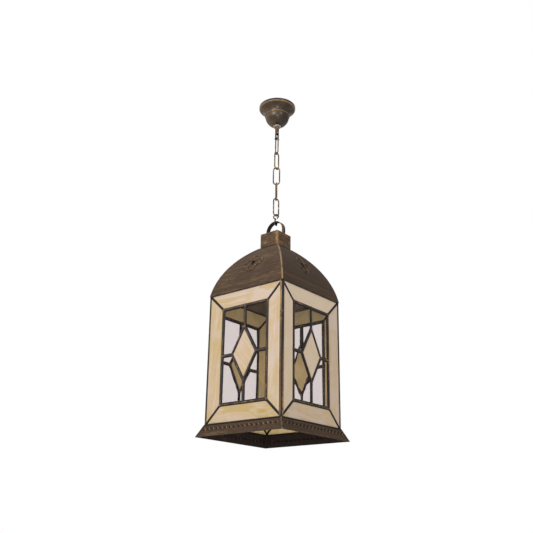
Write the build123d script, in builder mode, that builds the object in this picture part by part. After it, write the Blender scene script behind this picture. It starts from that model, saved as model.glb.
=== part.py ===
"""Square leaded-glass lantern hung from a ceiling canopy by a five-link chain.

The origin is the centre of the ceiling plane, +Z points up, and the lantern hangs below it.
Lengths are millimetres, angles degrees. Heights are z values, so most of them are negative.
"""
import os
from math import asin, atan2, cos, degrees, hypot, radians, sin, sqrt, tan

from build123d import *

# Ceiling bracket: a hat-shaped strap whose feet lie on the ceiling
bracket_span = 86.0
bracket_width = 22.0
bracket_sheet = 2.0
bracket_foot = 18.0
bracket_drop = 12.0
bracket_lean = 2.0
bracket_bend = 1.5
screw_spacing = 68.0
screw_slot_length = 10.0
screw_slot_width = 5.0

# Hanger tube with its locknuts, and the pin in its lower slot
tube_radius = 5.3
tube_wall = 1.5
thread_radius = 5.0
thread_clearance = 0.2
thread_end = 1.6
tube_length = 95.5
nut_across_flats = 14.0
nut_thickness = 4.0
loop_slot_width = 6.0
loop_slot_height = 17.5
loop_pin_radius = 1.5
loop_pin_lift = 1.7
loop_pin_head_radius = 2.4
loop_pin_head = 0.9
pin_clearance = 0.05

# Terminal block under the bracket
terminal_length = 20.0
terminal_width = 15.0
terminal_height = 10.0
terminal_ways = 3
terminal_hole_radius = 1.5
terminal_screw_radius = 1.3
terminal_screw_depth = 3.5
terminal_screw_proud = 0.6
terminal_standoff = 1.4

# Canopy: a spun cup with a rolled rim, a beaded step and a bowl, and its grip collar
canopy_radius = 50.0
canopy_sheet = 1.0
canopy_rim_height = 6.0
canopy_roll_radius = 1.6
canopy_step_radius = 33.0
canopy_step_drop = 28.5
canopy_step_bead = 1.6
canopy_cove_sag = 3.2
bowl_height = 31.5
bowl_foot_radius = 10.0
bowl_bulge = 6.4
canopy_play = 0.3
collar_radius = 10.6
collar_height = 3.2
collar_round = 1.0

# Chain of open-wire links; each turn is the link's plane about the vertical
link_wire = 3.5
link_inner_length = 46.5
link_inner_width = 13.0
link_turns = (62.0, 0.0, -55.0, 47.0, -15.0)
link_seam_gap = 0.5
opened_seam_gap = 3.0
opened_link = 5
hang_gap = 0.3

# Twisted hook: an eye on the last link and a deep bend under the bail
hook_wire = 3.4
hook_eye_turn = 105.0
hook_bend_turn = 25.0
hook_eye_half_width = 8.2
hook_eye_height = 15.4
hook_eye_top_angle = 84.0
hook_eye_top_round = 5.6
hook_eye_side_round = 3.4
hook_eye_mouth = 3.1
hook_neck_round = 2.6
hook_bend_width = 19.0
hook_bend_depth = 15.0
hook_bend_round = 9.2
hook_shoulder_rise = 1.2
hook_shoulder_round = 4.0
hook_tip_rise = 10.6

# Bail strap
bail_width = 12.0
bail_sheet = 2.0
bail_lift = 11.6
bail_seat = 24.0
bail_sag = 4.6

# Cap box on the dome, its plate and the cord bushing
cap_side = 56.0
cap_height = 39.6
cap_sheet = 1.2
cap_edge_round = 1.0
cap_plate_sheet = 1.2
cap_plate_depth = 6.0
plate_clearance = 0.2
bushing_radius = 7.0
bushing_flange = 2.0
bushing_bore_radius = 4.0
bushing_height = 4.0
bushing_flange_height = 1.2

# Lampholder and what carries it
bridge_width = 16.0
bridge_sheet = 1.5
bridge_tab = 8.0
bridge_lift = 2.6
nipple_bore_radius = 3.5
nipple_length = 20.0
nipple_top_reach = 6.5
nipple_nut_thickness = 3.5
holder_cap_height = 14.5
holder_neck_radius = 9.0
holder_neck_height = 3.0
holder_radius = 20.0
holder_body_height = 37.0
holder_mouth_radius = 17.5
holder_rib_height = 4.0
holder_floor = 6.0
holder_floor_bore = 8.0
screw_shell_radius = 13.3
screw_shell_sheet = 0.5
screw_shell_length = 26.0
screw_shell_inset = 2.0
holder_fit = 0.2
contact_radius = 4.0
contact_height = 2.5
contact_stem_radius = 2.0

# Dome: four curved panels with solder-beaded ridges
dome_height = 136.5
dome_sheet = 1.0
dome_arc_radius = 211.8
ridge_radius = 2.4
ridge_inset = 1.6
ridge_run_out = 2.0
bead_clearance = 0.15
vent_width = 6.4
vent_height = 11.0
vent_rim = 2.2
vent_rim_rise = 1.1
medallion_lobe_reach = 15.6
medallion_lobe_radius = 13.6
medallion_heart_radius = 12.0
medallion_line = 3.2
medallion_rise = 1.0
medallion_share = 0.483

# Body: four leaded faces between two square frames and four corner cames
body_side = 230.0
body_height = 316.0
frame_sheet = 1.5
frame_width = 10.0
corner_came = 6.4
corner_came_round = 3.0
face_recess = 2.0
came_flange = 0.7
came_channel = 3.0
came_heart = 1.2
came_corner_gap = 0.3
border_came = 2.8
border_heart = 0.8
mitre_came = 7.0
window_came = 8.4
tracery_came = 7.4
window_width = 138.0
window_height = 231.0
diamond_width = 74.0
diamond_height = 127.0
glass_sheet = 2.6
glass_clearance = 0.25

# Skirt: four flared panels with beaded corners and a row of stamped bosses
skirt_height = 28.6
skirt_side = 258.0
skirt_sheet = 1.2
skirt_bead_radius = 1.9
skirt_bead_inset = 1.2

# One overrun takes every cutter clear through its wall
overrun = 20.0

# Heights worked out from the ceiling down
bracket_web_top = -bracket_drop
bracket_web_bottom = bracket_web_top - bracket_sheet
tube_top = bracket_web_top + nut_thickness + thread_end
tube_bottom = tube_top - tube_length
loop_pin_z = tube_bottom + loop_pin_lift
canopy_drop = canopy_step_drop + bowl_height
link_pitch = link_inner_length - hang_gap
first_link_inner_top = loop_pin_z + loop_pin_radius + hang_gap
link_centres = [
    first_link_inner_top - link_inner_length / 2 - index * link_pitch for index in range(len(link_turns))
]
last_wire_z = link_centres[-1] - link_inner_length / 2 - link_wire / 2
hook_eye_top = last_wire_z + link_wire / 2 + hang_gap + hook_wire / 2
hook_neck_z = hook_eye_top - hook_eye_height
hook_bottom_z = hook_neck_z - hook_bend_depth
bail_apex = hook_bottom_z + hook_wire / 2 + hang_gap + bail_sag + bail_sheet
cap_inner_half = cap_side / 2 - cap_sheet
bail_radius = cap_inner_half
cap_top = bail_apex - bail_radius - bail_lift
cap_bottom = cap_top - cap_height
body_top = cap_bottom - dome_height
body_bottom = body_top - body_height
body_half = body_side / 2
skirt_bottom = body_bottom - skirt_height

# The four sides by the angle that turns the front (-Y) face onto each of them
side_angles = {"front": 0, "right": 90, "back": 180, "left": 270}

# The four corners by the angle that turns the front right corner onto each of them
corner_angles = {"front_right": 0, "back_right": 90, "back_left": 180, "front_left": 270}


def outward(angle, across, along, height):
    """Return a point given by its distance out from the axis, along the side, and its height."""
    turn = radians(angle)
    return Vector(
        across * sin(turn) + along * cos(turn),
        -across * cos(turn) + along * sin(turn),
        height,
    )


def side_plane(angle, across, height):
    """Return the plane of one side: x along the side, y up, z out of the lantern."""
    return Plane(
        origin=outward(angle, across, 0, height),
        x_dir=outward(angle, 0, 1, 0),
        z_dir=outward(angle, 1, 0, 0),
    )


def upright_plane(turn, height):
    """Return a vertical plane through the hanging axis: x at the given turn, y up."""
    angle = radians(turn)
    return Plane(
        origin=(0, 0, height),
        x_dir=(cos(angle), sin(angle), 0),
        z_dir=(sin(angle), -cos(angle), 0),
    )


def save(piece, name):
    """Label a finished piece and write its STEP file."""
    piece.part.label = name
    export_step(piece.part, f"parts/{name}.step")


os.makedirs("parts", exist_ok=True)

# Ceiling bracket
with BuildPart() as ceiling_bracket:
    half_span = bracket_span / 2
    foot_inner = half_span - bracket_foot
    web_half = foot_inner - bracket_lean
    with BuildSketch(Plane.XZ.offset(-bracket_width / 2)):
        with BuildLine() as hat:
            Polyline(
                (-half_span, 0),
                (-foot_inner, 0),
                (-web_half, bracket_web_top),
                (web_half, bracket_web_top),
                (foot_inner, 0),
                (half_span, 0),
            )
            offset(amount=bracket_sheet, side=Side.RIGHT, kind=Kind.INTERSECTION)
        make_face()
    extrude(amount=bracket_width)
    with Locations((0, 0, bracket_web_top)):
        Hole(thread_radius + thread_clearance, depth=bracket_sheet)
    with BuildSketch():
        with GridLocations(screw_spacing, 0, 2, 1):
            SlotOverall(screw_slot_length, screw_slot_width)
    extrude(amount=-bracket_sheet, mode=Mode.SUBTRACT)
    bent_edges = ceiling_bracket.edges().filter_by(Axis.Y).filter_by(
        lambda edge: abs(edge.center().X) < foot_inner + bracket_sheet
    )
    fillet(bent_edges, bracket_bend / 2)
save(ceiling_bracket, "ceiling_bracket")

# Hanger tube: threaded top, plain shank and an arched slot that is open below
tube_shank_top = bracket_web_bottom - nut_thickness
with BuildPart() as hanger_tube:
    with BuildSketch(Plane.XY.offset(tube_bottom)):
        Circle(tube_radius)
    extrude(amount=tube_shank_top - tube_bottom)
    with BuildSketch(Plane.XY.offset(tube_shank_top)):
        Circle(thread_radius)
    extrude(amount=tube_top - tube_shank_top)
    with BuildSketch(Plane.XY.offset(tube_bottom)):
        Circle(tube_radius - tube_wall)
    extrude(amount=tube_length, mode=Mode.SUBTRACT)
    arch_height = loop_slot_height - loop_slot_width / 2
    with BuildSketch(upright_plane(link_turns[0] + 90, tube_bottom)):
        with Locations((0, arch_height / 2)):
            Rectangle(loop_slot_width, arch_height)
        with Locations((0, arch_height)):
            Circle(loop_slot_width / 2)
    extrude(amount=overrun, both=True, mode=Mode.SUBTRACT)
    with BuildSketch(upright_plane(link_turns[0], loop_pin_z)):
        Circle(loop_pin_radius + pin_clearance)
    extrude(amount=overrun, both=True, mode=Mode.SUBTRACT)
save(hanger_tube, "hanger_tube")

# Locknuts above and below the bracket web
with BuildPart() as tube_locknuts:
    for nut_base in (bracket_web_top, tube_shank_top):
        with BuildSketch(Plane.XY.offset(nut_base)):
            RegularPolygon(nut_across_flats / 2, 6, major_radius=False)
            Circle(thread_radius, mode=Mode.SUBTRACT)
        extrude(amount=nut_thickness)
save(tube_locknuts, "tube_locknuts")

# Riveted pin that the first link hangs on
with BuildPart() as loop_pin:
    with BuildSketch(upright_plane(link_turns[0], loop_pin_z)):
        Circle(loop_pin_radius)
    extrude(amount=tube_radius, both=True)
    for way in (1, -1):
        with BuildSketch(upright_plane(link_turns[0], loop_pin_z).offset(way * tube_radius)):
            Circle(loop_pin_head_radius)
        extrude(amount=way * loop_pin_head)
save(loop_pin, "loop_pin")

# Terminal block beside the hanger, screwed under the bracket web
terminal_centre = nut_across_flats / sqrt(3) + terminal_standoff + terminal_width / 2
terminal_pitch = terminal_length / terminal_ways
with BuildPart() as terminal_block:
    with Locations((terminal_centre, 0, bracket_web_bottom - terminal_height / 2)):
        Box(terminal_width, terminal_length, terminal_height)
    with BuildSketch(Plane.YZ.offset(terminal_centre - terminal_width / 2)):
        with Locations((0, bracket_web_bottom - terminal_height / 2)):
            with GridLocations(terminal_pitch, 0, terminal_ways, 1):
                Circle(terminal_hole_radius)
    extrude(amount=terminal_width, mode=Mode.SUBTRACT)
    with BuildSketch(Plane.XY.offset(bracket_web_bottom - terminal_height)):
        with Locations((terminal_centre, 0)):
            with GridLocations(0, terminal_pitch, 1, terminal_ways):
                Circle(terminal_screw_radius)
    extrude(amount=terminal_screw_depth, mode=Mode.SUBTRACT)
save(terminal_block, "terminal_block")

with BuildPart() as terminal_screws:
    with BuildSketch(Plane.XY.offset(bracket_web_bottom - terminal_height - terminal_screw_proud)):
        with Locations((terminal_centre, 0)):
            with GridLocations(0, terminal_pitch, 1, terminal_ways):
                Circle(terminal_screw_radius)
    extrude(amount=terminal_screw_depth)
save(terminal_screws, "terminal_screws")

# Canopy
with BuildPart() as canopy:
    step_z = -canopy_step_drop
    cove_width = canopy_radius - canopy_step_radius
    cove_height = canopy_step_drop - canopy_rim_height
    cove_run = hypot(cove_width, cove_height)
    cove_mid_point = (
        canopy_step_radius + cove_width / 2 - canopy_cove_sag * cove_height / cove_run,
        step_z + cove_height / 2 + canopy_cove_sag * cove_width / cove_run,
    )
    bowl_width = canopy_step_radius - bowl_foot_radius
    bowl_run = hypot(bowl_width, bowl_height)
    bowl_mid_point = (
        bowl_foot_radius + bowl_width / 2 + bowl_bulge * bowl_height / bowl_run,
        step_z - bowl_height / 2 - bowl_bulge * bowl_width / bowl_run,
    )
    with BuildSketch(Plane.XZ):
        with BuildLine():
            Line((tube_radius + canopy_play, -canopy_drop), (bowl_foot_radius, -canopy_drop))
            ThreePointArc((bowl_foot_radius, -canopy_drop), bowl_mid_point, (canopy_step_radius, step_z))
            ThreePointArc((canopy_step_radius, step_z), cove_mid_point, (canopy_radius, -canopy_rim_height))
            Line((canopy_radius, -canopy_rim_height), (canopy_radius, 0))
            offset(amount=canopy_sheet, side=Side.LEFT)
        make_face()
        with Locations((canopy_step_radius, step_z)):
            Circle(canopy_step_bead)
        with Locations((canopy_radius - canopy_roll_radius, -canopy_rim_height)):
            Circle(canopy_roll_radius)
    revolve(axis=Axis.Z)
save(canopy, "canopy")

# Nylon grip collar that keeps the canopy up against the ceiling
with BuildPart() as canopy_collar:
    with BuildSketch(Plane.XY.offset(-canopy_drop)):
        Circle(collar_radius)
        Circle(tube_radius + pin_clearance, mode=Mode.SUBTRACT)
    extrude(amount=-collar_height)
    lower_rim = canopy_collar.edges().filter_by(GeomType.CIRCLE).group_by(Axis.Z)[0].sort_by(SortBy.RADIUS)[-1]
    fillet(lower_rim, collar_round)
save(canopy_collar, "canopy_collar")

# Chain links: each is one bent wire with a butt seam halfway down a side
link_middle = link_inner_width / 2 + link_wire / 2
link_straight = (link_inner_length - link_inner_width) / 2
for index, (turn, height) in enumerate(zip(link_turns, link_centres), start=1):
    seam = (opened_seam_gap if index == opened_link else link_seam_gap) / 2
    with BuildPart() as chain_link:
        with BuildLine(upright_plane(turn, height)) as bent_wire:
            Line((link_middle, seam), (link_middle, link_straight))
            ThreePointArc(
                (link_middle, link_straight),
                (0, link_straight + link_middle),
                (-link_middle, link_straight),
            )
            Line((-link_middle, link_straight), (-link_middle, -link_straight))
            ThreePointArc(
                (-link_middle, -link_straight),
                (0, -link_straight - link_middle),
                (link_middle, -link_straight),
            )
            Line((link_middle, -link_straight), (link_middle, -seam))
        with BuildSketch(Plane(origin=bent_wire.line @ 0, z_dir=bent_wire.line % 0)):
            Circle(link_wire / 2)
        sweep(path=bent_wire.wire())
    save(chain_link, f"chain_link_{index}")

# Twisted hook: the eye and the bend lie in planes that are turned against each other
eye_plane = upright_plane(hook_eye_turn, hook_neck_z)
bend_plane = upright_plane(hook_bend_turn, hook_neck_z)
half_top_angle = radians(hook_eye_top_angle / 2)
eye_corner_rise = hook_eye_height + hook_eye_top_round * (1 / sin(half_top_angle) - 1)
eye_side_rise = eye_corner_rise - hook_eye_half_width / tan(half_top_angle)
mouth_share = hook_eye_mouth / hook_eye_half_width
hook_points = [
    eye_plane.from_local_coords((-hook_eye_mouth, eye_side_rise * mouth_share, 0)),
    eye_plane.from_local_coords((-hook_eye_half_width, eye_side_rise, 0)),
    eye_plane.from_local_coords((0, eye_corner_rise, 0)),
    eye_plane.from_local_coords((hook_eye_half_width, eye_side_rise, 0)),
    eye_plane.from_local_coords((0, 0, 0)),
    bend_plane.from_local_coords((-hook_bend_width / 2, hook_shoulder_rise, 0)),
    bend_plane.from_local_coords((-hook_bend_width / 2, -hook_bend_depth, 0)),
    bend_plane.from_local_coords((hook_bend_width / 2, -hook_bend_depth, 0)),
    bend_plane.from_local_coords((hook_bend_width / 2, hook_tip_rise - hook_bend_depth, 0)),
]
hook_rounds = [
    hook_eye_side_round,
    hook_eye_top_round,
    hook_eye_side_round,
    hook_neck_round,
    hook_shoulder_round,
    hook_bend_round,
    hook_bend_round,
]
with BuildPart() as twisted_hook:
    with BuildLine() as hook_path:
        FilletPolyline(*hook_points, radius=hook_rounds)
    with BuildSketch(Plane(origin=hook_path.line @ 0, z_dir=hook_path.line % 0)):
        Circle(hook_wire / 2)
    sweep(path=hook_path.wire())
save(twisted_hook, "twisted_hook")

# Bail: a flat strap bent to an arch, with its legs inside the cap walls
with BuildPart() as bail:
    leg_foot = cap_top - bail_seat
    arch_spring = bail_apex - bail_radius
    with BuildSketch(Plane.YZ.offset(-bail_width / 2)):
        with BuildLine():
            Line((bail_radius, leg_foot), (bail_radius, arch_spring))
            ThreePointArc((bail_radius, arch_spring), (0, bail_apex), (-bail_radius, arch_spring))
            Line((-bail_radius, arch_spring), (-bail_radius, leg_foot))
            offset(amount=bail_sheet, side=Side.LEFT)
        make_face()
    extrude(amount=bail_width)
save(bail, "bail")

# Cap walls: an open square box on top of the dome
with BuildPart() as cap_walls:
    with BuildSketch(Plane.XY.offset(cap_bottom)):
        RectangleRounded(cap_side, cap_side, cap_edge_round)
        Rectangle(2 * cap_inner_half, 2 * cap_inner_half, mode=Mode.SUBTRACT)
    extrude(amount=cap_height)
save(cap_walls, "cap_walls")

# Cap plate, slotted for the bail legs, with the bushing for the supply cord
cap_plate_top = cap_top - cap_plate_depth
with BuildPart() as cap_plate:
    with BuildSketch(Plane.XY.offset(cap_plate_top)):
        Rectangle(2 * cap_inner_half, 2 * cap_inner_half)
        with GridLocations(0, 2 * cap_inner_half, 1, 2):
            Rectangle(bail_width + 2 * plate_clearance, 2 * (bail_sheet + plate_clearance), mode=Mode.SUBTRACT)
        Circle(bushing_radius, mode=Mode.SUBTRACT)
    extrude(amount=-cap_plate_sheet)
save(cap_plate, "cap_plate")

with BuildPart() as cord_bushing:
    with BuildSketch(Plane.XY.offset(cap_plate_top)):
        Circle(bushing_radius + bushing_flange)
    extrude(amount=bushing_flange_height)
    with BuildSketch(Plane.XY.offset(cap_plate_top)):
        Circle(bushing_radius)
    extrude(amount=-bushing_height)
    with BuildSketch(Plane.XY.offset(cap_plate_top + bushing_flange_height)):
        Circle(bushing_bore_radius)
    extrude(amount=-bushing_flange_height - bushing_height, mode=Mode.SUBTRACT)
save(cord_bushing, "cord_bushing")

# Lamp bridge: a cross strap with upturned tabs against the cap walls
bridge_bottom = cap_bottom + bridge_lift
bridge_top = bridge_bottom + bridge_sheet
with BuildPart() as lamp_bridge:
    with BuildSketch(Plane.XZ.offset(-bridge_width / 2)):
        with BuildLine():
            Polyline(
                (-cap_inner_half, bridge_top + bridge_tab),
                (-cap_inner_half, bridge_bottom),
                (cap_inner_half, bridge_bottom),
                (cap_inner_half, bridge_top + bridge_tab),
            )
            offset(amount=bridge_sheet, side=Side.LEFT, kind=Kind.INTERSECTION)
        make_face()
    extrude(amount=bridge_width)
    with Locations((0, 0, bridge_top)):
        Hole(thread_radius + thread_clearance, depth=bridge_sheet)
save(lamp_bridge, "lamp_bridge")

# Threaded nipple with a nut on each side of the bridge
nipple_top = bridge_top + nipple_nut_thickness + nipple_top_reach
with BuildPart() as lamp_nipple:
    with BuildSketch(Plane.XY.offset(nipple_top)):
        Circle(thread_radius)
        Circle(nipple_bore_radius, mode=Mode.SUBTRACT)
    extrude(amount=-nipple_length)
save(lamp_nipple, "lamp_nipple")

with BuildPart() as nipple_nuts:
    for nut_base in (bridge_top, bridge_bottom - nipple_nut_thickness):
        with BuildSketch(Plane.XY.offset(nut_base)):
            RegularPolygon(nut_across_flats / 2, 6, major_radius=False)
            Circle(thread_radius, mode=Mode.SUBTRACT)
        extrude(amount=nipple_nut_thickness)
save(nipple_nuts, "nipple_nuts")

# Lampholder cap, screwed up the nipple against the lower nut
holder_top = bridge_bottom - nipple_nut_thickness
holder_joint = holder_top - holder_cap_height
with BuildPart() as lampholder_cap:
    neck_bottom = holder_top - holder_neck_height
    shoulder_radius = holder_neck_radius + (holder_radius - holder_neck_radius) * sin(radians(45))
    shoulder_z = holder_joint + (neck_bottom - holder_joint) * sin(radians(45))
    with BuildSketch(Plane.XZ):
        with BuildLine():
            Polyline(
                (thread_radius, holder_joint),
                (thread_radius, holder_top),
                (holder_neck_radius, holder_top),
                (holder_neck_radius, neck_bottom),
            )
            ThreePointArc(
                (holder_neck_radius, neck_bottom),
                (shoulder_radius, shoulder_z),
                (holder_radius, holder_joint),
            )
            Line((holder_radius, holder_joint), (thread_radius, holder_joint))
        make_face()
    revolve(axis=Axis.Z)
save(lampholder_cap, "lampholder_cap")

# Lampholder body: an insulating cup with a rib round its mouth
holder_mouth = holder_joint - holder_body_height
holder_floor_bottom = holder_joint - holder_floor
with BuildPart() as lampholder_body:
    shell_outer = screw_shell_radius + screw_shell_sheet
    with BuildSketch(Plane.XZ):
        with BuildLine():
            Polyline(
                (holder_floor_bore, holder_joint),
                (holder_radius, holder_joint),
                (holder_radius, holder_mouth + 2 * holder_rib_height),
                (holder_mouth_radius, holder_mouth + holder_rib_height),
                (holder_mouth_radius, holder_mouth),
                (shell_outer + holder_fit, holder_mouth),
                (shell_outer + holder_fit, holder_floor_bottom),
                (holder_floor_bore, holder_floor_bottom),
                close=True,
            )
        make_face()
    revolve(axis=Axis.Z)
save(lampholder_body, "lampholder_body")

# Brass screw shell that takes the lamp cap
screw_shell_bottom = holder_mouth + screw_shell_inset
with BuildPart() as screw_shell:
    with BuildSketch(Plane.XY.offset(screw_shell_bottom)):
        Circle(screw_shell_radius + screw_shell_sheet)
        Circle(screw_shell_radius, mode=Mode.SUBTRACT)
    extrude(amount=screw_shell_length)
save(screw_shell, "screw_shell")

# Insulating disc in the holder floor, with the centre contact riveted through it
with BuildPart() as contact_insulator:
    with BuildSketch(Plane.XY.offset(holder_joint)):
        Circle(holder_floor_bore)
        Circle(contact_stem_radius, mode=Mode.SUBTRACT)
    extrude(amount=-holder_floor)
save(contact_insulator, "contact_insulator")

with BuildPart() as centre_contact:
    with BuildSketch(Plane.XY.offset(holder_joint)):
        Circle(contact_stem_radius)
    extrude(amount=-holder_floor)
    with BuildSketch(Plane.XY.offset(holder_floor_bottom)):
        Circle(contact_radius)
    extrude(amount=-contact_height)
save(centre_contact, "centre_contact")

# Dome geometry: every panel follows one arc from the body's edge to the cap's
cap_half = cap_side / 2
dome_run = body_half - cap_half
dome_chord = hypot(dome_run, dome_height)
dome_reach = sqrt(dome_arc_radius**2 - (dome_chord / 2) ** 2) / dome_chord
dome_centre_across = (body_half + cap_half) / 2 - dome_height * dome_reach
dome_centre_z = body_top + dome_height / 2 - dome_run * dome_reach
dome_low_angle = asin((body_top - dome_centre_z) / dome_arc_radius)
dome_high_angle = asin((cap_bottom - dome_centre_z) / dome_arc_radius)
dome_mid_angle = dome_low_angle + medallion_share * (dome_high_angle - dome_low_angle)


def dome_point(angle):
    """Return (across, height) on the dome's arc at an angle."""
    return dome_centre_across + dome_arc_radius * cos(angle), dome_centre_z + dome_arc_radius * sin(angle)


def dome_across(height, depth=0.0):
    """Return how far out the dome's face lies at a height, sunk by the depth."""
    radius = dome_arc_radius - depth
    return dome_centre_across + sqrt(radius**2 - (height - dome_centre_z) ** 2)


def ridge_tube(radius):
    """Return one solid bead along the dome's front right ridge, past both of its ends."""
    with BuildPart() as tube:
        with BuildLine(upright_plane(-45, 0)) as ridge_line:
            EllipticalCenterArc(
                (sqrt(2) * dome_centre_across - ridge_inset, dome_centre_z),
                sqrt(2) * dome_arc_radius,
                dome_arc_radius,
                degrees(dome_low_angle) - ridge_run_out,
                arc_size=degrees(dome_high_angle - dome_low_angle) + 2 * ridge_run_out,
            )
        with BuildSketch(Plane(origin=ridge_line.line @ 0, z_dir=ridge_line.line % 0)):
            Circle(radius)
        sweep(path=ridge_line.wire())
    return tube.part


def side_wedge(angle, low, high):
    """Return the wedge between the two diagonal planes of one side."""
    with BuildPart() as wedge:
        with BuildSketch(Plane(origin=(0, 0, low), x_dir=outward(angle, 1, 0, 0))):
            Polygon((0, 0), (skirt_side, -skirt_side), (skirt_side, skirt_side), align=None)
        extrude(amount=high - low)
    return wedge.part


ridge_cutter = ridge_tube(ridge_radius + bead_clearance)
ridge_bead = ridge_tube(ridge_radius)

# Dome ridges
with BuildPart() as dome_ridges:
    with PolarLocations(0, len(side_angles)):
        add(ridge_bead)
    split(bisect_by=Plane.XY.offset(body_top), keep=Keep.TOP)
    split(bisect_by=Plane.XY.offset(cap_bottom), keep=Keep.BOTTOM)
save(dome_ridges, "dome_ridges")

# Dome panels with a raised medallion round a square vent
dome_levels = (body_top, (body_top + cap_bottom) / 2, cap_bottom)
face_points = [(dome_across(level), level) for level in dome_levels]
back_points = [(dome_across(level, dome_sheet), level) for level in dome_levels]
crest_points = [(dome_across(level, -medallion_rise), level) for level in dome_levels]
root_points = [(dome_across(level, dome_sheet / 2), level) for level in dome_levels]


def arc_strip(plane, outer_points, inner_points):
    """Return a wide curved sheet whose section lies between two arcs."""
    with BuildPart() as strip:
        with BuildSketch(plane):
            with BuildLine():
                ThreePointArc(*outer_points)
                Line(outer_points[-1], inner_points[-1])
                ThreePointArc(*reversed(inner_points))
                Line(inner_points[0], outer_points[0])
            make_face()
        extrude(amount=body_half, both=True)
    return strip.part


for side, angle in side_angles.items():
    section_plane = Plane(origin=(0, 0, 0), x_dir=outward(angle, 1, 0, 0), z_dir=outward(angle, 0, -1, 0))
    vent_across, vent_z = dome_point(dome_mid_angle)
    vent_plane = Plane(
        origin=outward(angle, vent_across, 0, vent_z),
        x_dir=outward(angle, 0, 1, 0),
        z_dir=outward(angle, cos(dome_mid_angle), 0, sin(dome_mid_angle)),
    )
    with BuildPart() as medallion:
        with BuildSketch(vent_plane):
            Circle(medallion_heart_radius)
            with PolarLocations(medallion_lobe_reach, 4):
                Circle(medallion_lobe_radius)
            Circle(medallion_heart_radius, mode=Mode.SUBTRACT)
            with PolarLocations(medallion_lobe_reach, 4):
                Circle(medallion_lobe_radius - medallion_line, mode=Mode.SUBTRACT)
        extrude(amount=overrun, both=True)
        add(arc_strip(section_plane, crest_points, root_points), mode=Mode.INTERSECT)
    with BuildPart() as dome_panel:
        add(arc_strip(section_plane, face_points, back_points))
        add(side_wedge(angle, body_top, cap_bottom), mode=Mode.INTERSECT)
        add(medallion.part)
        with PolarLocations(0, len(side_angles)):
            add(ridge_cutter, mode=Mode.SUBTRACT)
        with BuildSketch(vent_plane.offset(-dome_sheet / 2)):
            Rectangle(vent_width + 2 * vent_rim, vent_height + 2 * vent_rim)
        extrude(amount=dome_sheet / 2 + vent_rim_rise)
        with BuildSketch(vent_plane):
            Rectangle(vent_width, vent_height)
        extrude(amount=overrun, both=True, mode=Mode.SUBTRACT)
    save(dome_panel, f"dome_panel_{side}")

# Square frames above and below the leaded faces
for name, base in (("top_frame", body_top - frame_sheet), ("bottom_frame", body_bottom)):
    with BuildPart() as frame:
        with BuildSketch(Plane.XY.offset(base)):
            Rectangle(body_side, body_side)
            Rectangle(body_side - 2 * frame_width, body_side - 2 * frame_width, mode=Mode.SUBTRACT)
        extrude(amount=frame_sheet)
    save(frame, name)

# Corner cames: rounded posts between the frames
post_centre = body_half - corner_came / 2
for corner_name, angle in corner_angles.items():
    corner = outward(angle, post_centre, post_centre, 0)
    with BuildPart() as corner_post:
        with BuildSketch(Plane(origin=(0, 0, body_bottom + frame_sheet))):
            with Locations((corner.X, corner.Y)):
                RectangleRounded(corner_came, corner_came, corner_came_round)
        extrude(amount=body_height - 2 * frame_sheet)
    save(corner_post, f"corner_came_{corner_name}")

# Leaded faces: joints of the cames in face coordinates
face_half_width = body_half - corner_came - came_corner_gap
face_half_height = body_height / 2 - frame_sheet
face_middle_z = body_bottom + body_height / 2
face_across = body_half - face_recess
channel_across = face_across - came_flange
window_x = window_width / 2
window_y = window_height / 2
diamond_x = diamond_width / 2
diamond_y = diamond_height / 2
window_corners = [(-window_x, -window_y), (window_x, -window_y), (window_x, window_y), (-window_x, window_y)]
face_corners = [
    (-face_half_width, -face_half_height),
    (face_half_width, -face_half_height),
    (face_half_width, face_half_height),
    (-face_half_width, face_half_height),
]
diamond_tips = [(0, -diamond_y), (diamond_x, 0), (0, diamond_y), (-diamond_x, 0)]
window_mids = [(0, -window_y), (window_x, 0), (0, window_y), (-window_x, 0)]
mitre_runs = list(zip(window_corners, face_corners))
window_runs = list(zip(window_corners, window_corners[1:] + window_corners[:1]))
diamond_runs = list(zip(diamond_tips, diamond_tips[1:] + diamond_tips[:1]))
stub_runs = list(zip(window_mids, diamond_tips))


def lay_bars(runs, width, mode=Mode.ADD):
    """Lay a bar of one width along each run, rounded at the solder joints."""
    for start, end in runs:
        run = (end[0] - start[0], end[1] - start[1])
        with Locations(((start[0] + end[0]) / 2, (start[1] + end[1]) / 2)):
            SlotCenterToCenter(hypot(*run), width, rotation=degrees(atan2(run[1], run[0])), mode=mode)


def came_net(border, mitre, window, tracery):
    """Draw the whole net of cames with the given bar widths, inside the face's edge."""
    Rectangle(2 * face_half_width, 2 * face_half_height)
    Rectangle(2 * (face_half_width - border), 2 * (face_half_height - border), mode=Mode.SUBTRACT)
    lay_bars(mitre_runs, mitre)
    lay_bars(window_runs, window)
    lay_bars(diamond_runs + stub_runs, tracery)
    Rectangle(2 * face_half_width, 2 * face_half_height, mode=Mode.INTERSECT)


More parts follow.
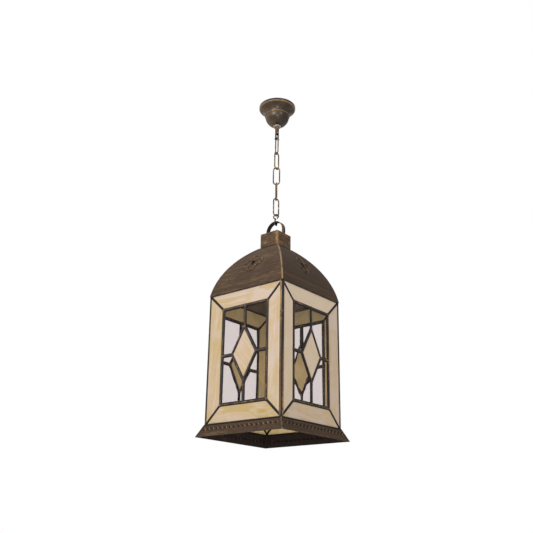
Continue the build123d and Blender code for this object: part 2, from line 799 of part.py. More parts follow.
glass_groove = came_heart + 2 * glass_clearance
glass_across = channel_across - (came_channel - glass_sheet) / 2
for side, angle in side_angles.items():
    # The cames have an H section: two flanges on a narrow heart
    with BuildPart() as came_lattice:
        with BuildSketch(side_plane(angle, face_across, face_middle_z)):
            came_net(border_came, mitre_came, window_came, tracery_came)
        extrude(amount=-came_flange)
        with BuildSketch(side_plane(angle, channel_across, face_middle_z)):
            came_net(border_heart, came_heart, came_heart, came_heart)
        extrude(amount=-came_channel)
        with BuildSketch(side_plane(angle, channel_across - came_channel, face_middle_z)):
            came_net(border_came, mitre_came, window_came, tracery_came)
        extrude(amount=-came_flange)
    save(came_lattice, f"came_lattice_{side}")

    # Four mitred strips of opal glass round the window
    with BuildPart() as opal_border:
        with BuildSketch(side_plane(angle, glass_across, face_middle_z)):
            edge_inset = border_heart + glass_clearance
            Rectangle(2 * (face_half_width - edge_inset), 2 * (face_half_height - edge_inset))
            Rectangle(window_width + glass_groove, window_height + glass_groove, mode=Mode.SUBTRACT)
            lay_bars(mitre_runs, glass_groove, mode=Mode.SUBTRACT)
        extrude(amount=-glass_sheet)
    save(opal_border, f"opal_border_{side}")

    # Four clear panes between the window edge and the diamond
    with BuildPart() as clear_panes:
        with BuildSketch(side_plane(angle, glass_across, face_middle_z)):
            Rectangle(window_width - glass_groove, window_height - glass_groove)
            Polygon(*diamond_tips, mode=Mode.SUBTRACT)
            lay_bars(diamond_runs + stub_runs, glass_groove, mode=Mode.SUBTRACT)
        extrude(amount=-glass_sheet)
    save(clear_panes, f"clear_panes_{side}")

    # Opal diamond in the middle
    with BuildPart() as opal_diamond:
        with BuildSketch(side_plane(angle, glass_across, face_middle_z)):
            Polygon(*diamond_tips)
            lay_bars(diamond_runs, glass_groove, mode=Mode.SUBTRACT)
        extrude(amount=-glass_sheet)
    save(opal_diamond, f"opal_diamond_{side}")

# Skirt: one flared shell, cut into four mitred panels by its corner beads
skirt_half = skirt_side / 2
with BuildPart() as skirt_shell:
    for inset, mode in ((0.0, Mode.ADD), (skirt_sheet, Mode.SUBTRACT)):
        with BuildSketch(Plane.XY.offset(body_bottom)):
            Rectangle(body_side - 2 * inset, body_side - 2 * inset)
        with BuildSketch(Plane.XY.offset(skirt_bottom)):
            Rectangle(skirt_side - 2 * inset, skirt_side - 2 * inset)
        loft(mode=mode)


def skirt_bead(radius):
    """Return one bead down the skirt's front right corner, past both of its ends."""
    flare = Vector(skirt_half - body_half, body_half - skirt_half, -skirt_height).normalized()
    inset = skirt_bead_inset / sqrt(2)
    start = Vector(body_half - inset, inset - body_half, body_bottom) - flare * skirt_height
    with BuildPart() as bead:
        with BuildSketch(Plane(origin=start, z_dir=flare)):
            Circle(radius)
        extrude(amount=3 * skirt_height + skirt_half - body_half)
    return bead.part


skirt_bead_cutter = skirt_bead(skirt_bead_radius + bead_clearance)
skirt_bead_rod = skirt_bead(skirt_bead_radius)

with BuildPart() as skirt_seams:
    with PolarLocations(0, len(side_angles)):
        add(skirt_bead_rod)
    split(bisect_by=Plane.XY.offset(skirt_bottom), keep=Keep.TOP)
    split(bisect_by=Plane.XY.offset(body_bottom), keep=Keep.BOTTOM)
save(skirt_seams, "skirt_seams")

for side, angle in side_angles.items():
    with BuildPart() as skirt_panel:
        add(skirt_shell.part)
        add(side_wedge(angle, skirt_bottom, body_bottom), mode=Mode.INTERSECT)
        with PolarLocations(0, len(side_angles)):
            add(skirt_bead_cutter, mode=Mode.SUBTRACT)
    save(skirt_panel, f"skirt_panel_{side}")
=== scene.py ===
"""Leaded-glass lantern on its chain: finishes, cames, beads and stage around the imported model."""

from functools import cache, partial
from math import asin, atan2, hypot, radians

import bmesh
import bpy
from bpy.props import FloatProperty, FloatVectorProperty, PointerProperty
from mathutils import Matrix, Vector


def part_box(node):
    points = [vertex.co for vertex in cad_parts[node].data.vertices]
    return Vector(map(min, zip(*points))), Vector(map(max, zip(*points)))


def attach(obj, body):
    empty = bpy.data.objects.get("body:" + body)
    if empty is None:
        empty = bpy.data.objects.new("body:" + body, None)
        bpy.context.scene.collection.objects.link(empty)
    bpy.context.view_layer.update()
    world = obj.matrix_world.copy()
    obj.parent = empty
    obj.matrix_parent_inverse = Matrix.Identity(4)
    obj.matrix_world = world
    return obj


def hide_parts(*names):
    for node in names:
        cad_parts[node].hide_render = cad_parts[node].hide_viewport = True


bl_info = {
    "name": "Leaded-glass lantern",
    "version": (1, 0, 0),
    "blender": (4, 5, 0),
    "location": "3D View > Sidebar > Lantern",
    "description": "Dresses the lantern with its bronze sheet, cames, solder, glass and stage",
    "category": "Add Mesh",
}

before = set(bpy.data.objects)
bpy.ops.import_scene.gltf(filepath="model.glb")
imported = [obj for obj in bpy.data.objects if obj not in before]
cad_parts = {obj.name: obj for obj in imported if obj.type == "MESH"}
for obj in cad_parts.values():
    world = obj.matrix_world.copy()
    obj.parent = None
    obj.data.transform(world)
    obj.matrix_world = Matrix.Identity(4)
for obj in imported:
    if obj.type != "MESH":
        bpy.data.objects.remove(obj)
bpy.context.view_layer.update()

# One millimetre in metres, which all lengths are in
MM = 0.001
# The four sides by the angle that turns the front (-Y) face onto each of them
SIDES = {"front": 0, "right": 90, "back": 180, "left": 270}
CORNERS = {"front_right": 0, "back_right": 90, "back_left": 180, "front_left": 270}
BODY_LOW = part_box("bottom_frame")[0].z
BODY_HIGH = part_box("top_frame")[1].z
BODY_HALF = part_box("top_frame")[1].x
BODY_MIDDLE = (BODY_LOW + BODY_HIGH) / 2
CAP_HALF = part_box("cap_walls")[1].x
CAP_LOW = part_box("cap_walls")[0].z
CAP_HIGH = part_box("cap_walls")[1].z
# The dome's arc runs from the frame's edge up to the foot of the cap
DOME_RADIUS = 211.8 * MM
DOME_RUN, DOME_HEIGHT = BODY_HALF - CAP_HALF, CAP_LOW - BODY_HIGH
DOME_REACH = (DOME_RADIUS**2 / hypot(DOME_RUN, DOME_HEIGHT) ** 2 - 0.25) ** 0.5
DOME_ACROSS = DOME_HEIGHT * DOME_REACH - (BODY_HALF + CAP_HALF) / 2
DOME_DOWN = DOME_RUN * DOME_REACH - (BODY_HIGH + CAP_LOW) / 2
# The vent sits a little below the middle of the arc
DOME_FOOT_ANGLE = asin((BODY_HIGH + DOME_DOWN) / DOME_RADIUS)
DOME_TOP_ANGLE = asin((CAP_LOW + DOME_DOWN) / DOME_RADIUS)
VENT_ANGLE = 0.517 * DOME_FOOT_ANGLE + 0.483 * DOME_TOP_ANGLE
# The ornament's four lobes: how far out their centres lie, and the radius of their line
LOBE_REACH, LOBE_LINE = 15.6 * MM, 12.0 * MM
# Where the canopy's rim and step catch the light, and where the hanger tube's slot ends above
CANOPY_LIP, CANOPY_STEP = -6.8 * MM, -28.5 * MM
SLOT_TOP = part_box("hanger_tube")[0].z + 17.5 * MM
# Where the faces of the front and left sides begin, for the painted light on the front's glass and for the
# sheet that the left side was cut from
FACE_OFF, FACE_ON = 100 * MM, 107 * MM
# A face's outer cames run this far inside the body's edge
EDGE_INSET = 2.5 * MM
# A face of a wall looks inwards where its normal does so by more than this share
INWARD = 0.3
# Share of a came's width that is rounded off, and how far and wide a solder joint stands over its came
CAME_ROUNDING = 0.46
JOINT_RISE, JOINT_WIDTH = 1.2 * MM, 0.6
# The corner posts end short of the frames. Their foil lies behind the edge and is rounded.
POST_SHORT, FOIL_SETBACK, FOIL_ROUND = 3.0 * MM, 1.1 * MM, 0.8 * MM
# The bosses' row lies this share down the skirt, and each boss is an oval
BOSS_DOWN, BOSS_OVAL = 0.44, 1.5
# A boss's steps: how far each goes in, as a share of its radius, and up, as a share of its rise
BOSS_STEPS = ((0.0, 0.15), (0.12, 0.5), (0.2, 0.35), (0.22, 0.0), (0.15, -0.5))
FLOOR_LEVEL = -1.75
# The photograph's camera, fitted to the lantern's corners: place, turn in degrees, lens in millimetres
CAMERA_PLACE = (-1.34972, -1.0893, -1.12954)
CAMERA_TURN = (110.70283, -0.92702, -50.69832)
CAMERA_LENS = 48.877
# A large lamp at the left, a fainter one in front and three narrow ones for the canopy's highlights:
# place, size, power in watts, spread in degrees and the level that it is aimed at
LAMPS = {
    "key": ((-2.5, -0.5, 0.2), 1.3, 16.0, 180, -0.7),
    "fill": ((-1.6, -2.4, -0.4), 1.6, 1.5, 180, -0.7),
    "canopy_left": ((-2.0, -0.1, 0.25), 0.45, 0.05, 20, -0.04),
    "canopy_right": ((-0.6, -1.9, 0.25), 0.45, 0.06, 20, -0.04),
    "canopy_glow": ((-1.5, -1.25, -0.75), 0.8, 0.2, 20, -0.04),
}

# The sums by plain names
SUMS = {
    "times": "MULTIPLY", "times_plus": "MULTIPLY_ADD", "plus": "ADD", "minus": "SUBTRACT",
    "larger": "MAXIMUM", "smaller": "MINIMUM", "size": "ABSOLUTE", "below": "LESS_THAN",
    "root": "SQRT", "turn": "ARCTAN2",
}
# Each node by a plain name: its type, its settings, the sockets that its values fill in turn, and its output
NODES = {name: ("ShaderNodeMath", {"operation": kind}, (0, 1, 2), 0) for name, kind in SUMS.items()}
NODES.update({
    "paint": ("ShaderNodeMix", {"data_type": "RGBA"}, (0, 6, 7), 2),
    "blend": ("ShaderNodeMix", {"data_type": "FLOAT"}, (0, 2, 3), 0),
    "spread": ("ShaderNodeMapRange", {"interpolation_type": "SMOOTHSTEP"}, (0, 1, 2, 3, 4), 0),
    "bump": ("ShaderNodeBump", {}, ("Height", "Distance", "Strength"), 0),
    "split": ("ShaderNodeSeparateXYZ", {}, (0,), None),
    "join": ("ShaderNodeCombineXYZ", {}, (0, 1), 0),
    "apart": ("ShaderNodeVectorMath", {"operation": "DISTANCE"}, (0, 1), "Value"),
    "facing": ("ShaderNodeVectorMath", {"operation": "DOT_PRODUCT"}, (0, 1), "Value"),
    "mapping": ("ShaderNodeMapping", {}, ("Vector", "Location", "Rotation", "Scale"), 0),
    "noise": ("ShaderNodeTexNoise", {}, ("Vector", "Scale", "Detail", "Roughness", "Distortion"), 0),
    "attribute": ("ShaderNodeAttribute", {}, (), "Fac"),
    "place": ("ShaderNodeTexCoord", {}, (), "Object"),
    "direction": ("ShaderNodeTexCoord", {}, (), "Generated"),
    "rays": ("ShaderNodeLightPath", {}, (), None),
    "glow": ("ShaderNodeBackground", {}, (0, 1), 0),
    "either": ("ShaderNodeMixShader", {}, (0, 1, 2), 0),
})


def linear(hex_colour):
    """Turn an sRGB hex colour into a linear one."""
    values = [int(hex_colour[i:i + 2], 16) / 255 for i in (1, 3, 5)]
    return [v / 12.92 if v <= 0.04045 else ((v + 0.055) / 1.055) ** 2.4 for v in values]


def colour(name, description, hex_colour):
    """Describe one colour that a user can change."""
    return FloatVectorProperty(
        name=name, description=description, subtype="COLOR", size=3, min=0, max=1, default=linear(hex_colour)
    )


def length(name, description, millimetres):
    """Describe one length that a user can change, given here in millimetres."""
    return FloatProperty(
        name=name, description=description, subtype="DISTANCE", unit="LENGTH", min=0, default=millimetres * MM
    )


class LANTERN_PG_sizes(bpy.types.PropertyGroup):
    """Sizes of the pieces that are modelled here."""

    window_width: length("Window width", "Between the centre lines of the window's upright cames", 138.0)
    window_height: length("Window height", "Between the centre lines of the window's level cames", 231.0)
    diamond_width: length("Diamond width", "Between the centre lines at the side tips", 74.0)
    diamond_height: length("Diamond height", "Between the centre lines at the upper and lower tips", 127.0)
    window_came: length("Window came", "Width of the cames round the window", 9.4)
    tracery_came: length("Tracery came", "Width of the cames round the diamond", 9.0)
    mitre_came: length("Mitre came", "Width of the cames on the mitres", 7.4)
    edge_came: length("Edge came", "Width of the cames under the dome and over the skirt", 2.6)
    came_depth: length("Came depth", "From the outer crown of a came to its inner one", 5.6)
    came_crown: length("Came crown", "How far the cames stand behind the frame's edge", 1.1)
    glass: length("Glass", "Thickness of the opal glass", 3.0)
    closing_foil: length("Closing foil", "Lap of the foil on the corner that was closed last", 7.8)
    closing_bead: length("Closing bead", "Radius of the solder bead on that corner", 1.8)
    foil: length("Foil", "Lap of the foil on the other three corners", 2.8)
    bead: length("Bead", "Radius of the solder bead on the other three corners", 1.3)
    skirt_sheet: length("Skirt sheet", "Thickness of the skirt's sheet", 1.0)
    boss_radius: length("Boss radius", "Radius of the stamped bosses on the skirt", 4.3)
    boss_rise: length("Boss rise", "How far the bosses stand out", 1.6)
    boss_pitch: length("Boss pitch", "Distance between two bosses", 13.4)


class LANTERN_PG_colours(bpy.types.PropertyGroup):
    """Colours of the finishes."""

    bronze: colour("Bronze", "Lacquered sheet where it was brushed clean", "#6a533e")
    # Also laid over the dome's front panel as painted shade
    bronze_dark: colour("Dark bronze", "Lacquered sheet between the brush marks", "#3a2e26")
    # Also laid on as the painted highlights of corners, beads, bosses, cames, the canopy's lines and the bail
    bronze_rub_and_highlight: colour("Bronze rub", "Edges rubbed down to bright bronze", "#ae8a5c")
    # Painted light: lifted far above the bronze's own colour, for the dome's inner face
    bronze_inner_painted_light: colour("Inner bronze", "The dome's inner face, lacquered and never rubbed", "#b0a289")
    # Also laid on as painted shade beside the dome's ornament and on the corner foil
    patina: colour("Patina", "Blackened lead and wire", "#1c1718")
    # Painted shade: the near-black laid inside the skirt, in the dome's top, in the vent and in the hanger
    # tube's slot
    primer: colour("Primer", "Black-brown paint under the skirt", "#231915")
    rust: colour("Rust", "Rust that shows through that paint", "#45281a")
    opal: colour("Opal", "Body of the opal glass", "#c5ac8a")
    opal_amber: colour("Amber wisp", "Yellow wisps in the opal glass", "#b59a55")
    opal_rose: colour("Rose wisp", "Milky wisps in the opal glass", "#cbb8aa")
    # Painted light: the paler cream laid on the front's glass for the light that comes through it from behind
    opal_pale: colour("Pale opal", "The palest sheet, cut for the front", "#dfcbb1")
    # The inner face's colour and its glow are painted light, in place of light through the glass
    opal_inside: colour("Opal inside", "The opal glass's shaded inner face", "#efd9a2")
    clear: colour("Clear glass", "Faint tint of the clear glass", "#e9e3e2")
    zinc: colour("Zinc", "Plated steel of the ceiling gear", "#a9a9a6")
    brass: colour("Brass", "Screw shell, contact and terminal screws", "#c2a15c")
    nylon: colour("Nylon", "Grip collar, terminal block and bushing", "#9c8f86")
    phenolic: colour("Phenolic", "Lampholder", "#1f1b19")
    floor: colour("Floor", "Plain floor", "#e9e7e4")


def toned(shade, light):
    """Return a colour made darker or lighter."""
    return [min(1, value * light) for value in shade]


def fill(owner, node, values):
    """Set a node's sockets, by name or number, or link them to the outputs that are given."""
    for key, value in values.items():
        socket = node.inputs[key]
        if isinstance(value, bpy.types.NodeSocket):
            owner.node_tree.links.new(value, socket)
        else:
            socket.default_value = (*value, 1.0) if socket.type == "RGBA" else value


def add_node(owner, name, *values, **settings):
    """Add one node of the table to a material or world, fill its sockets in turn and return its output."""
    kind, preset, sockets, output = NODES[name]
    node = owner.node_tree.nodes.new(kind)
    for key, value in {**preset, **settings}.items():
        setattr(node, key, value)
    fill(owner, node, dict(zip(sockets, values)))
    return node.outputs if output is None else node.outputs[output]


def new_material(name):
    """Return a new material, what adds nodes to it, the object's coordinates and the colours that are set."""
    material = bpy.data.materials.new(name)
    material.use_nodes = True
    add = partial(add_node, material)
    return material, add, add("place"), bpy.context.scene.lantern_colours


def surfaced(material, values):
    """Fill the sockets of a material's surface shader."""
    fill(material, material.node_tree.nodes["Principled BSDF"], values)
    return material


def pattern(add, place, grain, detail=4.0, roughness=0.55, distortion=0.0, shift=(0, 0, 0)):
    """Return a cloudy pattern whose grains have one size in millimetres, or one for each axis."""
    if isinstance(grain, tuple):
        moved = add("mapping", place, shift, (0, 0, 0), [1 / (size * MM) for size in grain])
        return add("noise", moved, 1.0, detail, roughness, distortion)
    return add("noise", add("mapping", place, shift), 1 / (grain * MM), detail, roughness, distortion)


def layered(add, tone, *layers):
    """Lay colours over a tone: where each goes, the most that it covers, and the colour."""
    for where, most, layer in layers:
        tone = add("paint", add("times", where, most), tone, layer)
    return tone


def corner_highlight(add, x, y):
    """Return where a corner's painted highlight goes: all on the front left one, which faces the lamps and
    the camera, little on the others.
    """
    toward = add("times", add("plus", x, y), -1.0)
    return add("times_plus", add("spread", toward, 5 * MM, 50 * MM), 0.88, 0.12)


def front_side(add, x, y):
    """Return 1 on the front side, and 0 on the other three."""
    return add("below", add("plus", y, add("size", x)), 0.0)


def brushed_bronze(name, light=1.0):
    """Return a material of brushed bronze, with what new_material gives and its tone so far."""
    # Level brush marks 20 mm long, over darker bands and clouds, with bronze where the brush bit deeper.
    # Real marks are about 0.2 mm wide and too fine for the render, so they are drawn 2.4 mm wide.
    material, add, place, shade = new_material(name)
    streak = pattern(add, place, (20, 20, 2.381), 5.0, 0.7)
    broad = pattern(add, place, (142.86, 142.86, 4.348), 3.0, 0.5, shift=(3, 1, 7))
    cloud = pattern(add, place, 83.33, 2.0, shift=(5, 2, 0))
    grain = pattern(add, place, 2.381, 3.0, 0.7)
    tone = add("paint", add("spread", streak, 0.24, 0.62), shade.bronze_dark, toned(shade.bronze, light))
    tone = layered(
        add,
        tone,
        (add("spread", broad, 0.6, 0.35), 0.35, shade.bronze_dark),
        (add("spread", add("times", streak, broad), 0.28, 0.42), 0.26, shade.bronze_rub_and_highlight),
        (add("spread", cloud, 0.60, 0.35), 0.3, shade.bronze_dark),
        (add("spread", grain, 0.60, 0.36), 0.42, shade.bronze_dark),
    )
    surfaced(material, {
        "Metallic": 0.3,
        "Roughness": add("spread", streak, -1.2, 1.4),
        "Specular IOR Level": 0.2,
        "Normal": add("bump", streak, 0.15 * MM, 0.5),
    })
    return material, add, place, shade, tone


def bronze_sheet():
    """Antique bronze: steel sheet, bronzed, blackened, then brushed level and lacquered."""
    # To the eye: brown with level streaks and a soft sheen, and the ornament picked out in dark and bright
    material, add, place, shade, tone = brushed_bronze("Bronzed steel sheet, brushed and lacquered")
    x, y, z = add("split", place)
    wide, deep = add("size", x), add("size", y)
    # How far a point stands proud of the dome's arc, and where it lies along and across the panel
    run = add("plus", add("larger", wide, deep), DOME_ACROSS)
    rise = add("plus", z, DOME_DOWN)
    squares = add("plus", add("times", run, run), add("times", rise, rise))
    proud = add("minus", add("root", squares), DOME_RADIUS)
    turn = add("turn", rise, run)
    along = add("times", add("size", add("minus", turn, VENT_ANGLE)), DOME_RADIUS)
    across = add("smaller", wide, deep)
    spot = add("join", across, along)
    lobes = [add("apart", spot, centre) for centre in ((LOBE_REACH, 0, 0), (0, LOBE_REACH, 0))]
    off_line = add("size", add("minus", add("smaller", *lobes), LOBE_LINE))
    # Painted shade darkens the front panel, the side turned from the lamp, and lies in a band beside the
    # ornament's line. Patina stays in the line's foot.
    tone = layered(
        add,
        tone,
        (front_side(add, x, y), 0.55, shade.bronze_dark),
        (add("spread", off_line, 4.4 * MM, 1.8 * MM), 0.5, shade.patina),
        (add("spread", proud, 0.05 * MM, 0.3 * MM), 0.6, shade.patina),
    )
    # The line's crown is rubbed in places, and the vent's rim hardly
    spots = add("spread", pattern(add, place, 7.692, 2.0), 0.36, 0.60)
    crown = add("times", add("spread", proud, 0.6 * MM, 1.0 * MM), spots)
    ring = add("times_plus", add("below", off_line, 3 * MM), 0.42, 0.12)
    tone = add("paint", add("times", crown, ring), tone, shade.bronze_rub_and_highlight)
    # The inner face is lightened with painted light below and blackened with painted shade above. The vent's
    # cut walls are painted black as shade.
    high = add("spread", turn, VENT_ANGLE - 0.1, VENT_ANGLE + 0.05)
    inside = add("paint", high, shade.bronze_inner_painted_light, shade.primer)
    tone = add("paint", add("spread", proud, -0.6 * MM, -0.8 * MM), tone, inside)
    vent = add("times", add("below", across, 4.4 * MM), add("below", along, 6.8 * MM))
    tone = add("paint", vent, tone, toned(shade.primer, 0.2))
    # A faint bright band runs level, 20 mm above the foot
    level_band = add("size", add("minus", z, BODY_HIGH + 20 * MM))
    tone = layered(add, tone, (add("spread", level_band, 1.6 * MM, 0.2 * MM), 0.12, shade.bronze_rub_and_highlight))
    return surfaced(material, {"Base Color": tone})


def cap_sheet():
    """Antique bronze sheet on the cap, with a painted highlight on its corners."""
    # To the eye: the dome's brown, rubbed bright in spots of 11 mm, with a highlight painted down its
    # corners, ragged by those spots and most on the front left one
    material, add, place, shade, tone = brushed_bronze("Bronzed steel sheet, rubbed on its corners", 1.1)
    x, y, z = add("split", place)
    corner = add("smaller", add("size", x), add("size", y))
    spots = pattern(add, place, 11.11)
    edge = add("spread", add("times_plus", spots, 9 * MM, corner), CAP_HALF - 6 * MM, CAP_HALF + 8 * MM)
    tone = layered(
        add,
        tone,
        (add("spread", spots, 0.50, 0.70), 0.35, shade.bronze_rub_and_highlight),
        (add("times", edge, corner_highlight(add, x, y)), 0.8, shade.bronze_rub_and_highlight),
        (add("spread", z, CAP_LOW + 3.2 * MM, CAP_LOW + 1.6 * MM), 0.8, shade.patina),
    )
    return surfaced(material, {"Base Color": tone})


def spun_bronze():
    """Antique bronze on the spun canopy, lacquered and never brushed."""
    # To the eye: dark brown mottled in patches of 45 mm, softly glossy, with painted highlights along its rim
    # and step
    material, add, place, shade = new_material("Bronzed spun steel")
    mottle = pattern(add, place, 45.45, 2.0, 0.5)
    z = add("split", place)[2]
    warm = zip(shade.bronze, shade.bronze_rub_and_highlight, (0.8, 0.95, 0.8))
    worn = [0.68 * low + 0.15 * high * tint for low, high, tint in warm]
    tone = add("paint", add("spread", mottle, 0.30, 0.95), toned(shade.bronze_dark, 0.75), worn)
    # The rolled lip is darker above its line, and a highlight is painted along the lip's line and along the
    # step's
    tone = layered(add, tone, (add("spread", z, -5 * MM, -4 * MM), 0.7, shade.patina))
    for height in (CANOPY_STEP, CANOPY_LIP):
        off_line = add("size", add("minus", z, height))
        tone = layered(add, tone, (add("spread", off_line, 1.8 * MM, 0.2 * MM), 0.7, shade.bronze_rub_and_highlight))
    return surfaced(material, {
        "Base Color": tone, "Metallic": 0.85, "Roughness": 0.36, "Coat Weight": 0.5, "Coat Roughness": 0.22,
    })


def stamped_sheet():
    """Antique bronze sheet on the skirt, stamped with bosses."""
    # To the eye: a darker brown, with a highlight painted on one side of each boss and shade painted on the
    # other
    material, add, place, shade, tone = brushed_bronze("Bronzed steel sheet, stamped", 0.72)
    x, y, z = add("split", place)
    # The attribute read here paints each boss's light and shade: a highlight on one side, shade on the other
    rub = add("attribute", attribute_name="rub")
    spots = add("spread", pattern(add, place, 11.11, 3.0), 0.40, 0.6)
    tone = layered(add, tone, (add("spread", rub, 0.48, 0.25), 0.7, shade.patina))
    # On the front panel the painted highlight covers a little more of each boss
    toward = add("times_plus", front_side(add, x, y), 0.15, rub)
    lit = add("times", add("spread", toward, 0.70, 0.90), add("times_plus", spots, 0.45, 0.35))
    tone = add("paint", lit, tone, shade.bronze_rub_and_highlight)
    # A blackened line of solder runs along the joint with the glass
    joint = add("spread", z, BODY_LOW - 3.0 * MM, BODY_LOW - 2.2 * MM)
    return surfaced(material, {"Base Color": add("paint", joint, tone, shade.patina)})


def black_painted_shade():
    """Black-brown painted shade, laid inside the skirt where shade falls."""
    # To the eye: nearly black and matt, with patches of rust 22 mm across
    material, add, place, shade = new_material("Black-brown primer on steel")
    patch = pattern(add, place, 22.22, 5.0, 0.65)
    return surfaced(material, {
        "Base Color": add("paint", add("spread", patch, 0.5, 0.85), shade.primer, shade.rust),
        "Roughness": 0.7,
        "Specular IOR Level": 0.15,
        "Normal": add("bump", patch, 0.2 * MM, 0.4),
    })


def bronzed_wire(name, slotted):
    """Antique bronze on drawn steel: the chain's wire and the hanger tube."""
    # To the eye: brown with dark specks and bright patches of 11 mm where the bends rub. The specks are drawn
    # 4 mm wide, because real ones are too fine for the render.
    material, add, place, shade = new_material(name)
    grain = pattern(add, place, 4.167, 5.0, 0.6)
    patch = pattern(add, place, 11.11, 2.0, shift=(1, 4, 2))
    tone = add("paint", add("spread", grain, 0.36, 0.66), toned(shade.bronze_dark, 0.6), shade.bronze)
    tone = layered(add, tone, (add("spread", patch, 0.44, 0.66), 0.55, shade.bronze_rub_and_highlight))
    if slotted:
        # The slotted end of the hanger tube is painted black as shade, for the dark inside of its slot
        ragged = add("times_plus", grain, 2 * MM, add("split", place)[2])
        tone = add("paint", add("spread", ragged, SLOT_TOP + 2 * MM, SLOT_TOP), tone, shade.primer)
    return surfaced(material, {
        "Base Color": tone, "Metallic": 0.5, "Roughness": 0.4, "Normal": add("bump", grain, 0.1 * MM, 0.4),
    })


def blackened_strap():
    """Oil-rubbed bronze: drawn steel strap, blackened."""
    # To the eye: black with a metal's sheen, and bronze where it rubs
    material, add, place, shade = new_material("Oil-rubbed bronze")
    grain = pattern(add, place, 5.0, 5.0, 0.6)
    patch = pattern(add, place, 16.67, 2.0, shift=(1, 4, 2))
    tone = add("paint", add("spread", add("times", grain, patch), 0.22, 0.42), shade.patina, shade.bronze)
    # The bail's front leg is worn bronze on its left edge, and a highlight is painted there as well
    x, y, z = add("split", place)
    leg = add("times", add("spread", y, -10 * MM, -20 * MM), add("spread", z, CAP_HIGH - 4 * MM, CAP_HIGH))
    wear_and_highlight = add("times", leg, add("spread", add("times_plus", patch, 4 * MM, x), 4 * MM, 0.0))
    return surfaced(material, {
        "Base Color": layered(add, tone, (wear_and_highlight, 0.35, shade.bronze_rub_and_highlight)),
        "Metallic": 0.6,
        "Roughness": 0.4,
        "Normal": add("bump", grain, 0.1 * MM, 0.4),
    })


def patinated_came():
    """Lead came: extruded lead, tinned with solder, blackened and rubbed back."""
    # To the eye: black with a dull metal sheen, and bronze on the crown in patches of 24 mm, partly wear and
    # partly a painted highlight, with painted shade at the came's edges. The pits are drawn 3 mm wide,
    # because real ones are too fine for the render.
    material, add, place, shade = new_material("Patinated lead came")
    grain = pattern(add, place, 2.632, 4.0, 0.65)
    patch = pattern(add, place, 23.81, 3.0, shift=(2, 0, 5))
    wear_and_shading = add("times", add("plus", grain, patch), add("attribute", attribute_name="crown"))
    tone = layered(
        add,
        shade.patina,
        (add("spread", wear_and_shading, 0.60, 1.12), 0.95, shade.bronze),
        (add("spread", wear_and_shading, 0.97, 1.10), 0.95, shade.bronze_rub_and_highlight),
    )
    return surfaced(material, {
        "Base Color": tone, "Metallic": 0.5, "Roughness": 0.42, "Normal": add("bump", grain, 0.3 * MM, 0.5),
    })


def foil_edge():
    """Copper foil: tinned, folded over the glass and plated bronze."""
    # To the eye: dark brown with painted highlights in specks of 8 mm, most on the front left corner, which
    # faces the lamps
    material, add, place, shade = new_material("Bronzed copper foil")
    grain = pattern(add, place, 8.333)
    patch = pattern(add, place, 71.43, 2.0, shift=(0, 0, 3))
    x, y, z = add("split", place)
    # Highlights are painted on the left lap towards its top and on the right one lower down, and painted
    # shade blackens the right lap's top
    left = add("spread", add("minus", y, x), -MM, MM)
    high = add("spread", z, BODY_MIDDLE, BODY_HIGH)
    low = add("spread", z, BODY_HIGH - 120 * MM, BODY_LOW)
    highlight_place = add("times_plus", add("blend", left, low, high), 1.0, 0.15)
    bright = add("times", add("spread", grain, 0.30, 0.58), highlight_place)
    bright = add("times", bright, corner_highlight(add, x, y))
    tone = add("paint", add("spread", patch, 0.3, 0.7), shade.bronze_dark, shade.bronze)
    tone = add("paint", bright, tone, shade.bronze_rub_and_highlight)
    top = add("spread", z, BODY_MIDDLE - 30 * MM, BODY_MIDDLE + 40 * MM)
    right_lap_shade = add("times", add("minus", 1.0, left), top)
    return surfaced(material, {
        "Base Color": layered(add, tone, (right_lap_shade, 0.75, shade.patina)),
        "Metallic": 0.5,
        "Roughness": 0.4,
        "Normal": add("bump", grain, 0.3 * MM, 0.5),
    })


def solder_bead():
    """Solder: run molten along a seam and plated bronze."""
    # To the eye: a wavy bead in waves of 11 mm, with painted highlights on its crests, and patina left in its
    # dips
    material, add, place, shade = new_material("Bronzed solder bead")
    grain = pattern(add, place, 11.11, 3.0)
    x, y, z = add("split", place)
    # A highlight is painted on the side that faces left, most on the front left corner, evenly above the
    # glass and in specks of 3 mm under it
    left = add("spread", add("minus", add("size", x), add("size", y)), -2.2 * MM, -0.6 * MM)
    specks = add("spread", pattern(add, place, 3.333, 2.0), 0.40, 0.62)
    bright = add("times", add("spread", grain, 0.22, 0.50), left)
    bright = add("times", bright, corner_highlight(add, x, y))
    bright = add("times", bright, add("larger", specks, add("spread", z, BODY_LOW, BODY_HIGH)))
    # Under the glass it stays black and duller
    above = add("spread", z, BODY_LOW, BODY_LOW + MM)
    tone = add("paint", above, shade.patina, shade.bronze_dark)
    return surfaced(material, {
        "Base Color": layered(add, tone, (bright, 0.74, shade.bronze_rub_and_highlight)),
        "Metallic": 0.6,
        "Roughness": add("times_plus", above, -0.3, 0.66),
        "Normal": add("bump", grain, 0.4 * MM, 0.6),
    })


def dark_solder():
    """Solder: run molten down a corner and blackened."""
    # To the eye: a glossy black bead in waves of 17 mm, hardly rubbed
    material, add, place, shade = new_material("Blackened solder bead")
    grain = pattern(add, place, 16.67)
    return surfaced(material, {
        "Base Color": layered(add, shade.patina, (add("spread", grain, 0.58, 0.78), 0.6, shade.bronze_rub_and_highlight)),
        "Metallic": 0.5,
        "Roughness": 0.34,
        "Normal": add("bump", grain, 0.4 * MM, 0.6),
    })


